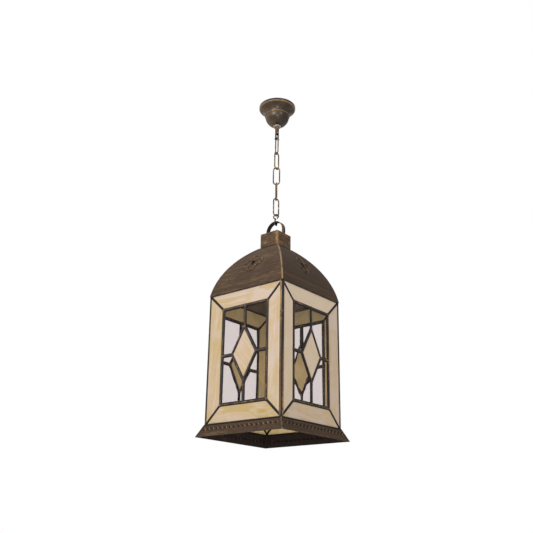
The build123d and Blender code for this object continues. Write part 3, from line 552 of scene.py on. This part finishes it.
def opal_sheet(name, lean):
    """Opalescent glass: rolled sheet, coloured through."""
    # To the eye: warm cream with a low gloss, and wisps of amber and milk 20 to 25 mm wide. They run along
    # each strip, whose way the attribute "level" gives, or at a lean on the diamond. The hairs in them are
    # drawn 7 mm wide, because real ones of 1 mm are too fine for the render.
    material, add, place, shade = new_material(name)
    x, y, z = add("split", place)
    flat = add("join", add("minus", x, y), z)
    level = add("attribute", attribute_name="level")
    # Painted light brightens the front's top strip, near strip and diamond, in place of the light that comes
    # through the glass from behind
    front_backlight = add("spread", y, -FACE_OFF, -FACE_ON)
    if lean:
        turned = add("mapping", flat, (0, 0, 0), (0, 0, lean))
        wisp = pattern(add, turned, (166.67, 20.833, 1000), 3.0, 0.5, 0.7)
        hair = pattern(add, turned, (125, 6.6667, 1000), 3.0, 0.5, 1.1)
    else:
        # The wisps stray from their strip by 4 degrees
        slant = add("mapping", flat, (0, 0, 0), (0, 0, radians(4)))
        upright_wisp = pattern(add, slant, (21.739, 250, 1000), 3.0, 0.5, 1.1, (4, 9, 0))
        upright_hair = pattern(add, slant, (6.6667, 125, 1000), 3.0, 0.5, 1.1)
        wisp = add("blend", level, upright_wisp, pattern(add, slant, (200, 25, 1000), 3.0, 0.5, 1.1))
        hair = add("blend", level, upright_hair, pattern(add, slant, (125, 6.6667, 1000), 3.0, 0.5, 1.1))
        near = add("spread", x, 0.0, -10 * MM)
        top = add("spread", z, BODY_MIDDLE, BODY_MIDDLE + 10 * MM)
        front_backlight = add("times", front_backlight, add("blend", level, near, top))
    field = pattern(add, flat, 125, 1.0, distortion=1.0, shift=(7, 3, 1))
    milk = pattern(add, flat, 76.923, 2.0, distortion=1.6, shift=(1, 8, 4))
    # The sheet that the left side was cut from holds the most amber, above all at its foot
    left = add("spread", x, -FACE_OFF, -FACE_ON)
    foot = add("times", left, add("spread", z, BODY_LOW + 55 * MM, BODY_LOW + 35 * MM))
    rich = add("times_plus", foot, 0.5, add("times_plus", left, 0.56, 0.22))
    # Amber threads run along the middle of the wisps, most on level strips
    thread = add("spread", add("size", add("minus", wisp, 0.5)), 0.06, 0.01)
    thread = add("times", thread, add("times_plus", left, 0.30, 0.20))
    thread = add("times", thread, add("times_plus", level, 0.7, 0.3))
    amber = add("times", add("spread", wisp, 0.40, 0.68), add("spread", field, 0.36, 0.6))
    amber = add("times", amber, add("times_plus", add("spread", hair, 0.36, 0.62), 0.6, 0.4))
    pale = add("times_plus", add("spread", z, BODY_MIDDLE, BODY_HIGH), 0.08, milk)
    tone = layered(
        add,
        shade.opal,
        (add("spread", pale, 0.40, 0.68), 0.7, shade.opal_rose),
        (add("spread", hair, 0.48, 0.62), 0.55, shade.opal_rose),
        (amber, rich, shade.opal_amber),
        (foot, 0.16, shade.opal_amber),
        (thread, 1.0, shade.opal_amber),
        (front_backlight, 0.45, shade.opal_pale),
    )
    return surfaced(material, {
        "Base Color": tone,
        "Roughness": 0.2,
        "IOR": 1.5,
        "Specular IOR Level": 0.3,
        "Normal": add("bump", milk, 0.6 * MM, 0.25),
    })


def shaded_opal():
    """Opalescent glass on its inner face, a copy coloured and made to glow as painted light."""
    # To the eye: a deeper amber in clouds of 56 mm, with a faint painted glow in place of the light that
    # comes through the glass
    material, add, place, shade = new_material("Opalescent glass, inner face")
    cloud = add("spread", pattern(add, place, 55.56, 3.0, distortion=1.0), 0.3, 0.7)
    return surfaced(material, {
        "Base Color": add("paint", cloud, toned(shade.opal_inside, 0.66), toned(shade.opal_inside, 0.88)),
        "Emission Color": shade.opal_inside,
        "Emission Strength": 0.13,
        "Roughness": 0.3,
        "IOR": 1.5,
        "Specular IOR Level": 0.15,
    })


def clear_sheet():
    """Clear glass: thin drawn sheet."""
    # To the eye: faintly rose from its age, with slow waves 22 mm wide and 111 mm long. Its IOR is lower than
    # that of glass, so that the waves bend what is seen through them no more than the real ones do.
    material, add, place, shade = new_material("Drawn clear glass")
    wave = pattern(add, place, (22.222, 22.222, 111.11), 0.0)
    return surfaced(material, {
        "Base Color": shade.clear,
        "Transmission Weight": 1.0,
        "Roughness": 0.0,
        "IOR": 1.16,
        "Normal": add("bump", wave, 3 * MM, 0.6),
    })


def plain(name, colour_name, metallic, roughness):
    """Return a plain finish with the grain of its making."""
    # The real grain is too fine for the render, so it is drawn 3 mm wide
    material, add, place, shade = new_material(name)
    base = getattr(shade, colour_name)
    grain = pattern(add, place, 3.333, 3.0)
    return surfaced(material, {
        "Base Color": add("paint", grain, toned(base, 0.8), toned(base, 1.15)),
        "Metallic": metallic,
        "Roughness": roughness,
        "Normal": add("bump", grain, 0.1 * MM, 0.3),
    })


# Each finish by a short name: what makes it, and the values for that
FINISHES = {
    "sheet": (bronze_sheet,),
    "cap": (cap_sheet,),
    "spun": (spun_bronze,),
    "stamped": (stamped_sheet,),
    "primer": (black_painted_shade,),
    "wire": (bronzed_wire, "Bronzed steel wire", False),
    "tube": (bronzed_wire, "Bronzed steel tube", True),
    "strap": (blackened_strap,),
    "came": (patinated_came,),
    "foil": (foil_edge,),
    "solder": (solder_bead,),
    "dark solder": (dark_solder,),
    "opal strips": (opal_sheet, "Wispy opalescent glass", 0.0),
    "opal diamond": (opal_sheet, "Wispy opalescent glass, cut at a lean", radians(50)),
    "opal inside": (shaded_opal,),
    "clear": (clear_sheet,),
    # Zinc gives a dull grey-white skin with fine spangle
    "zinc": (plain, "Zinc-plated steel", "zinc", 0.9, 0.42),
    # Brass gives a warm yellow metal with soft drawing marks
    "brass": (plain, "Rolled brass", "brass", 0.95, 0.3),
    # Nylon gives a soft, slightly warm off-white
    "nylon": (plain, "Moulded nylon", "nylon", 0.0, 0.5),
    # Phenolic gives a dense black with a low sheen
    "phenolic": (plain, "Moulded phenolic", "phenolic", 0.0, 0.35),
}


@cache
def finish(name):
    """Return a finish by its short name, made once."""
    maker, *values = FINISHES[name]
    return maker(*values)


def dress(target, finish_name):
    """Put one finish on an object, in place of what it had."""
    target.data.materials.clear()
    target.data.materials.append(finish(finish_name))
    return target


def dress_nodes(finish_name, *names):
    """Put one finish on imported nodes."""
    for name in names:
        dress(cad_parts[name], finish_name)


def work_on(*targets):
    """Select these objects alone and make the first one active."""
    bpy.ops.object.select_all(action="DESELECT")
    for target in targets:
        target.select_set(True)
    bpy.context.view_layer.objects.active = targets[0]


def applied(target):
    """Apply all modifiers and the object's place, so that its place is in its mesh."""
    work_on(target)
    for modifier in list(target.modifiers):
        bpy.ops.object.modifier_apply(modifier=modifier.name)
    bpy.ops.object.transform_apply(location=True, rotation=True, scale=True)
    return target


def thickened(target, thickness, offset):
    """Make a sheet a wall, behind its face with an offset of -1 and to both sides with 0."""
    wall = target.modifiers.new("wall", "SOLIDIFY")
    wall.thickness = thickness
    wall.offset = offset
    return applied(target)


def joined(name, parts):
    """Join parts into one object with a name."""
    work_on(*parts)
    bpy.ops.object.join()
    target = bpy.context.view_layer.objects.active
    target.name = name
    target.data.name = name
    return target


def copied(source, name):
    """Return a copy with its own mesh."""
    target = source.copy()
    target.data = source.data.copy()
    target.name = name
    target.data.name = name
    bpy.context.scene.collection.objects.link(target)
    return target


def settle(target, body="lantern", replaces=()):
    """Smooth a finished piece, set it on its body and hide the nodes that it stands for."""
    work_on(target)
    bpy.ops.object.shade_smooth_by_angle(angle=radians(40))
    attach(target, body)
    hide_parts(*replaces)


def set_round(source, name, turns, stands_for):
    """Copy a piece from face coordinates (x along, -y out, z up) round to each side, and remove it."""
    for side, turn in turns.items():
        piece = copied(source, f"{name}_{side}")
        piece.data.transform(Matrix.Rotation(radians(turn), 4, "Z"))
        settle(piece, replaces=[f"{stands_for}_{side}"])
    bpy.data.objects.remove(source)


def started(kind, **settings):
    """Add one primitive with nothing else selected and return it."""
    bpy.ops.object.select_all(action="DESELECT")
    getattr(bpy.ops.mesh, f"primitive_{kind}_add")(**settings)
    return bpy.context.active_object


def upright(width, height, depth, middle):
    """Return a thin sheet that stands in a face's plane, in face coordinates."""
    sheet = started("plane", size=1, rotation=(radians(90), 0, 0))
    sheet.scale = (width, height, 1)
    sheet.location = (0, -depth, middle)
    return applied(sheet)


def edit(test=None):
    """Go into edit mode with the edges selected whose two ends pass a test, or else with all faces."""
    bpy.ops.object.mode_set(mode="EDIT")
    bpy.ops.mesh.select_mode(type="EDGE" if test else "FACE")
    bpy.ops.mesh.select_all(action="DESELECT" if test else "SELECT")
    if test:
        data = bpy.context.active_object.data
        mesh = bmesh.from_edit_mesh(data)
        for edge in mesh.edges:
            edge.select_set(test(edge.verts[0].co, edge.verts[1].co))
        bmesh.update_edit_mesh(data)


def done():
    """Leave edit mode."""
    bpy.ops.object.mode_set(mode="OBJECT")


def mark(target, name, value):
    """Write one attribute on a piece's points, from a function of their place."""
    layer = target.data.attributes.new(name, "FLOAT", "POINT")
    layer.data.foreach_set("value", [value(vertex.co) for vertex in target.data.vertices])


def inner_faces(target, finish_name):
    """Give the faces that look inwards a second finish, in face coordinates."""
    target.data.materials.append(finish(finish_name))
    for face in target.data.polygons:
        if face.normal.y > INWARD:
            face.material_index = len(target.data.materials) - 1


def face_lines(size):
    """Return how far out the middle of a leaded face lies, and how far its edge runs to the side and up."""
    middle = BODY_HALF - size.came_crown - size.came_depth / 2
    return middle, BODY_HALF - EDGE_INSET, (BODY_HIGH - BODY_LOW) / 2 - size.edge_came / 2


def came_bar(start, end, width, worn, depth, middle):
    """Return one round-faced bar of came between two points of a face, in face coordinates."""
    run = (end[0] - start[0], end[1] - start[1])
    reach = hypot(*run)
    bar = started("cube", size=1)
    bar.scale = (reach, width, width)
    applied(bar)
    edit(lambda a, b: abs(a.x - b.x) > reach / 2)
    bpy.ops.mesh.bevel(offset=width * CAME_ROUNDING, segments=4, profile=0.5)
    done()
    # The crown's wear and painted highlight fall to nothing at the came's two edges, which stay dark as
    # painted shade
    mark(bar, "crown", lambda point: worn * (1 - abs(point.z) / (width / 2)))
    bar.scale = (1, depth / width, 1)
    bar.location = ((start[0] + end[0]) / 2, -middle, BODY_MIDDLE + (start[1] + end[1]) / 2)
    bar.rotation_euler = (0, -atan2(run[1], run[0]), 0)
    return applied(bar)


def solder_joint(x, z, middle, depth, radius):
    """Return one solder joint, a flattened drop through the came, in face coordinates."""
    blob = started("uv_sphere", segments=14, ring_count=8, radius=1)
    mark(blob, "crown", lambda point: 0.35 + 0.6 * abs(point.y))
    blob.scale = (radius, depth / 2, radius)
    blob.location = (x, -middle, BODY_MIDDLE + z)
    return applied(blob)


class LANTERN_OT_stage(bpy.types.Operator):
    """Set out the floor, the studio light and the camera"""

    bl_idname = "lantern.stage"
    bl_label = "Stage"

    def floor(self):
        """Lay a pale floor under the lantern."""
        floor = started("plane", size=30, location=(0, 0, FLOOR_LEVEL))
        floor.name = "floor"
        # Painted board: an even, matt off-white
        material, add, place, shade = new_material("Pale studio floor")
        tone = add("paint", pattern(add, place, 33.33, 2.0), toned(shade.floor, 0.97), shade.floor)
        floor.data.materials.append(surfaced(material, {"Base Color": tone, "Roughness": 0.8}))

    def studio(self, context):
        """Light the room from the left, in front of a white wall."""
        world = bpy.data.worlds.new("Studio")
        world.use_nodes = True
        add = partial(add_node, world)
        white = (1, 1, 1)
        wall = world.node_tree.nodes["Background"]
        fill(world, wall, {0: white})
        rays = add("rays")
        seen = add("larger", rays["Is Camera Ray"], rays["Is Transmission Ray"])
        toward = add("facing", add("direction"), Vector((-0.86, -0.22, 0.42)).normalized())
        strength = add("spread", toward, -1.0, 1.0, 0.16, 1.26, interpolation_type="LINEAR")
        room = add("either", seen, add("glow", white, strength), wall.outputs[0])
        fill(world, world.node_tree.nodes["World Output"], {0: room})
        context.scene.world = world
        context.scene.view_settings.view_transform = "Standard"

    def lamps(self, context):
        """Hang the lamps and aim each at the lantern or its canopy."""
        for name, (place, size, power, spread, aim) in LAMPS.items():
            bpy.ops.object.select_all(action="DESELECT")
            bpy.ops.object.light_add(type="AREA", location=place)
            lamp = context.active_object
            lamp.name = name
            lamp.data.size = size
            lamp.data.energy = power
            lamp.data.spread = radians(spread)
            lamp.rotation_euler = (Vector((0, 0, aim)) - Vector(place)).to_track_quat("-Z", "Y").to_euler()

    def camera(self, context):
        """Set up the camera at the photograph's angle."""
        bpy.ops.object.select_all(action="DESELECT")
        bpy.ops.object.camera_add(location=CAMERA_PLACE)
        camera = context.active_object
        camera.rotation_euler = [radians(turn) for turn in CAMERA_TURN]
        camera.data.lens = CAMERA_LENS
        camera.data.sensor_width = 36
        camera.data.clip_end = 60
        context.scene.camera = camera

    def execute(self, context):
        self.floor()
        self.studio(context)
        self.lamps(context)
        self.camera(context)
        return {"FINISHED"}


class LANTERN_OT_sheet_metal(bpy.types.Operator):
    """Finish the bronzed sheet: canopy, cap, dome and frames"""

    bl_idname = "lantern.sheet_metal"
    bl_label = "Bronzed sheet"

    def execute(self, context):
        dress_nodes("spun", "canopy")
        dress_nodes("cap", "cap_walls", "cap_plate")
        dress_nodes("strap", "top_frame")
        dress_nodes("dark solder", "bottom_frame")
        dress_nodes("sheet", *[f"dome_panel_{side}" for side in SIDES])
        dress_nodes("solder", "dome_ridges", "skirt_seams")
        return {"FINISHED"}


class LANTERN_OT_skirt(bpy.types.Operator):
    """Model the four skirt panels with their rows of stamped bosses"""

    bl_idname = "lantern.skirt"
    bl_label = "Skirt"

    def execute(self, context):
        size = context.scene.lantern_sizes
        low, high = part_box("skirt_panel_front")
        foot = -low.y
        drop = high.z - low.z
        flare = foot - BODY_HALF
        # A sheet whose lower edge is drawn out and widened, given its thickness and trimmed level at its foot
        panel = upright(2 * BODY_HALF, drop, BODY_HALF, high.z - drop / 2)
        edit(lambda a, b: max(a.z, b.z) < high.z - drop / 2)
        bpy.ops.transform.translate(value=(0, -flare, 0))
        bpy.ops.transform.resize(value=(foot / BODY_HALF, 1, 1))
        done()
        panel = thickened(panel, size.skirt_sheet, -1)
        edit()
        bpy.ops.mesh.bisect(plane_co=(0, 0, low.z), plane_no=(0, 0, -1), use_fill=True, clear_outer=True)
        done()
        # The plain sheet takes neither painted highlight nor painted shade
        mark(panel, "rub", lambda point: 0.5)
        boss = started("circle", vertices=16, radius=size.boss_radius, fill_type="NGON")
        edit()
        for inward, up in BOSS_STEPS:
            if inward:
                bpy.ops.mesh.inset(thickness=size.boss_radius * inward)
            else:
                bpy.ops.mesh.extrude_region_move()
            bpy.ops.transform.translate(value=(0, 0, size.boss_rise * up))
        done()
        # Each boss is marked for painted light and shade: a highlight on its one side, shade on the other
        mark(boss, "rub", lambda point: 0.5 + 0.5 * point.x / size.boss_radius)
        boss.scale = (1, BOSS_OVAL, 1)
        boss.rotation_euler = (radians(90) + atan2(flare, drop), 0, 0)
        boss = applied(boss)
        count = int(2 * (BODY_HALF - size.boss_radius) // size.boss_pitch) + 1
        parts = [panel]
        for number in range(count):
            stamp = copied(boss, f"boss_{number}")
            across = (number - (count - 1) / 2) * size.boss_pitch
            stamp.data.transform(Matrix.Translation(
                (across, -BODY_HALF - flare * BOSS_DOWN, high.z - drop * BOSS_DOWN)
            ))
            parts.append(stamp)
        bpy.data.objects.remove(boss)
        panel = joined("stamped_skirt", parts)
        dress(panel, "stamped")
        # The skirt's inner faces take the black painted shade
        inner_faces(panel, "primer")
        set_round(panel, "stamped_skirt", SIDES, "skirt_panel")
        return {"FINISHED"}


class LANTERN_OT_chain(bpy.types.Operator):
    """Finish the chain, hook, bail and hanger tube"""

    bl_idname = "lantern.chain"
    bl_label = "Chain and hook"

    def execute(self, context):
        dress_nodes("wire", *[f"chain_link_{number}" for number in range(1, 6)])
        dress_nodes("tube", "hanger_tube")
        dress_nodes("strap", "twisted_hook", "bail", "loop_pin")
        dress_nodes("nylon", "canopy_collar")
        return {"FINISHED"}


class LANTERN_OT_hidden_gear(bpy.types.Operator):
    """Finish the ceiling gear and the lampholder"""

    bl_idname = "lantern.hidden_gear"
    bl_label = "Ceiling gear and lampholder"

    def execute(self, context):
        dress_nodes("zinc", "ceiling_bracket", "tube_locknuts", "lamp_bridge", "lamp_nipple", "nipple_nuts")
        dress_nodes("brass", "terminal_screws", "screw_shell", "centre_contact")
        dress_nodes("nylon", "terminal_block", "cord_bushing")
        dress_nodes("phenolic", "lampholder_cap", "lampholder_body", "contact_insulator")
        return {"FINISHED"}


class LANTERN_OT_glass(bpy.types.Operator):
    """Cut the opal strips and diamonds, and finish the clear panes"""

    bl_idname = "lantern.glass"
    bl_label = "Glass"

    def strips(self, size):
        """Return the four border strips of a face, mitred in its corners and marked where they lie level."""
        middle, edge_x, edge_z = face_lines(size)
        inset = 5 * MM
        strips = upright(2 * edge_x, 2 * edge_z, middle, BODY_MIDDLE)
        edit()
        bpy.ops.mesh.inset(thickness=inset)
        opening = (size.window_width / 2 / (edge_x - inset), 1, size.window_height / 2 / (edge_z - inset))
        bpy.ops.transform.resize(value=opening, center_override=(0, -middle, BODY_MIDDLE))
        bpy.ops.mesh.delete(type="FACE")
        bpy.ops.mesh.select_mode(type="EDGE")
        bpy.ops.mesh.select_all(action="SELECT")
        bpy.ops.mesh.edge_split()
        done()
        level = [0.0] * len(strips.data.vertices)
        for face in strips.data.polygons:
            for index in face.vertices:
                level[index] = float(abs(face.center.z - BODY_MIDDLE) > abs(face.center.x))
        strips.data.attributes.new("level", "FLOAT", "POINT").data.foreach_set("value", level)
        return strips

    def execute(self, context):
        size = context.scene.lantern_sizes
        strips = self.strips(size)
        diamond = started("circle", vertices=4, radius=1, fill_type="NGON")
        diamond.rotation_euler = (radians(90), 0, 0)
        diamond.location = (0, -face_lines(size)[0], BODY_MIDDLE)
        diamond.scale = (size.diamond_width / 2, size.diamond_height / 2, 1)
        sheets = (("border", strips, "opal strips"), ("diamond", diamond, "opal diamond"))
        for kind, piece, finish_name in sheets:
            dress(thickened(piece, size.glass, 0), finish_name)
            # The inner faces take the opal's painted light and glow
            inner_faces(piece, "opal inside")
            set_round(piece, f"opal_{kind}_glass", SIDES, f"opal_{kind}")
        dress_nodes("clear", *[f"clear_panes_{side}" for side in SIDES])
        return {"FINISHED"}


class LANTERN_OT_cames(bpy.types.Operator):
    """Model the cames of the four leaded faces, with their solder joints"""

    bl_idname = "lantern.cames"
    bl_label = "Cames"

    def execute(self, context):
        size = context.scene.lantern_sizes
        middle, edge_x, edge_z = face_lines(size)
        x, z = size.window_width / 2, size.window_height / 2
        dx, dz = size.diamond_width / 2, size.diamond_height / 2
        window = [(-x, -z), (x, -z), (x, z), (-x, z)]
        outer = [(-edge_x, -edge_z), (edge_x, -edge_z), (edge_x, edge_z), (-edge_x, edge_z)]
        tips = [(0, -dz), (dx, 0), (0, dz), (-dx, 0)]
        mids = [(0, -z), (x, 0), (0, z), (-x, 0)]
        ring = [1, 2, 3, 0]
        # Each run is a start, an end, a width and how much wear and painted highlight its crown takes
        runs = [(outer[0], outer[1], size.edge_came, 0.0), (outer[2], outer[3], size.edge_came, 1.1)]
        runs += [(window[i], outer[i], size.mitre_came, 0.72) for i in range(4)]
        runs += [(window[i], window[ring[i]], size.window_came, 1.0) for i in range(4)]
        runs += [(tips[i], tips[ring[i]], size.tracery_came, 1.0) for i in range(4)]
        runs += [(mids[i], tips[i], size.tracery_came, 1.0) for i in range(4)]
        parts = [came_bar(*run, size.came_depth, middle) for run in runs]
        joints = ((window, size.window_came), (tips, size.tracery_came), (mids, size.window_came))
        for points, width in joints:
            for point in points:
                parts.append(solder_joint(*point, middle, size.came_depth + JOINT_RISE, JOINT_WIDTH * width))
        net = joined("came_net", parts)
        dress(net, "came")
        set_round(net, "came_net", SIDES, "came_lattice")
        return {"FINISHED"}


class LANTERN_OT_corners(bpy.types.Operator):
    """Model the foiled corners with the solder bead that runs down each of them"""

    bl_idname = "lantern.corners"
    bl_label = "Corners"

    def post(self, lap, radius):
        """Return one corner: foil lapped over both faces, with a bead down its edge."""
        tall = BODY_HIGH - BODY_LOW - POST_SHORT

        def upright_edge(a, b):
            return abs(a.z - b.z) > tall / 2

        corner = BODY_HALF - FOIL_SETBACK - lap / 2
        foil = started("cube", size=1)
        foil.scale = (lap, lap, tall)
        foil.location = (corner, -corner, BODY_MIDDLE)
        applied(foil)
        edit(upright_edge)
        bpy.ops.mesh.bevel(offset=FOIL_ROUND, segments=2, profile=0.5)
        done()
        axis = BODY_HALF - radius
        bead = started(
            "cylinder",
            vertices=14,
            radius=radius,
            depth=tall,
            end_fill_type="NGON",
            location=(axis, -axis, BODY_MIDDLE),
        )
        edit(upright_edge)
        bpy.ops.mesh.subdivide(number_cuts=60)
        done()
        return joined("corner", [dress(foil, "foil"), dress(applied(bead), "dark solder")])

    def execute(self, context):
        size = context.scene.lantern_sizes
        for corners, lap, radius in (
            (("front_left",), size.closing_foil, size.closing_bead),
            (("front_right", "back_right", "back_left"), size.foil, size.bead),
        ):
            turns = {corner: CORNERS[corner] for corner in corners}
            set_round(self.post(lap, radius), "corner_bead", turns, "corner_came")
        return {"FINISHED"}


class LANTERN_PT_panel(bpy.types.Panel):
    """Sidebar panel with the lantern's pieces"""

    bl_idname = "LANTERN_PT_panel"
    bl_label = "Lantern"
    bl_space_type = "VIEW_3D"
    bl_region_type = "UI"
    bl_category = "Lantern"

    def draw(self, context):
        for step in STEPS:
            self.layout.operator(step.bl_idname)
        for group in (context.scene.lantern_sizes, context.scene.lantern_colours):
            for key in group.bl_rna.properties.keys():
                if key not in ("rna_type", "name"):
                    self.layout.prop(group, key)


STEPS = (
    LANTERN_OT_stage,
    LANTERN_OT_sheet_metal,
    LANTERN_OT_skirt,
    LANTERN_OT_chain,
    LANTERN_OT_hidden_gear,
    LANTERN_OT_glass,
    LANTERN_OT_cames,
    LANTERN_OT_corners,
)
CLASSES = (LANTERN_PG_sizes, LANTERN_PG_colours, *STEPS, LANTERN_PT_panel)


def register():
    """Register the classes and the two groups of settings."""
    for entry in CLASSES:
        bpy.utils.register_class(entry)
    bpy.types.Scene.lantern_sizes = PointerProperty(type=LANTERN_PG_sizes)
    bpy.types.Scene.lantern_colours = PointerProperty(type=LANTERN_PG_colours)


def unregister():
    """Take the settings and the classes out again."""
    del bpy.types.Scene.lantern_colours
    del bpy.types.Scene.lantern_sizes
    for entry in reversed(CLASSES):
        bpy.utils.unregister_class(entry)


def main():
    """Make every piece in order."""
    register()
    for step in STEPS:
        group, name = step.bl_idname.split(".")
        getattr(getattr(bpy.ops, group), name)()


if __name__ == "__main__":
    main()
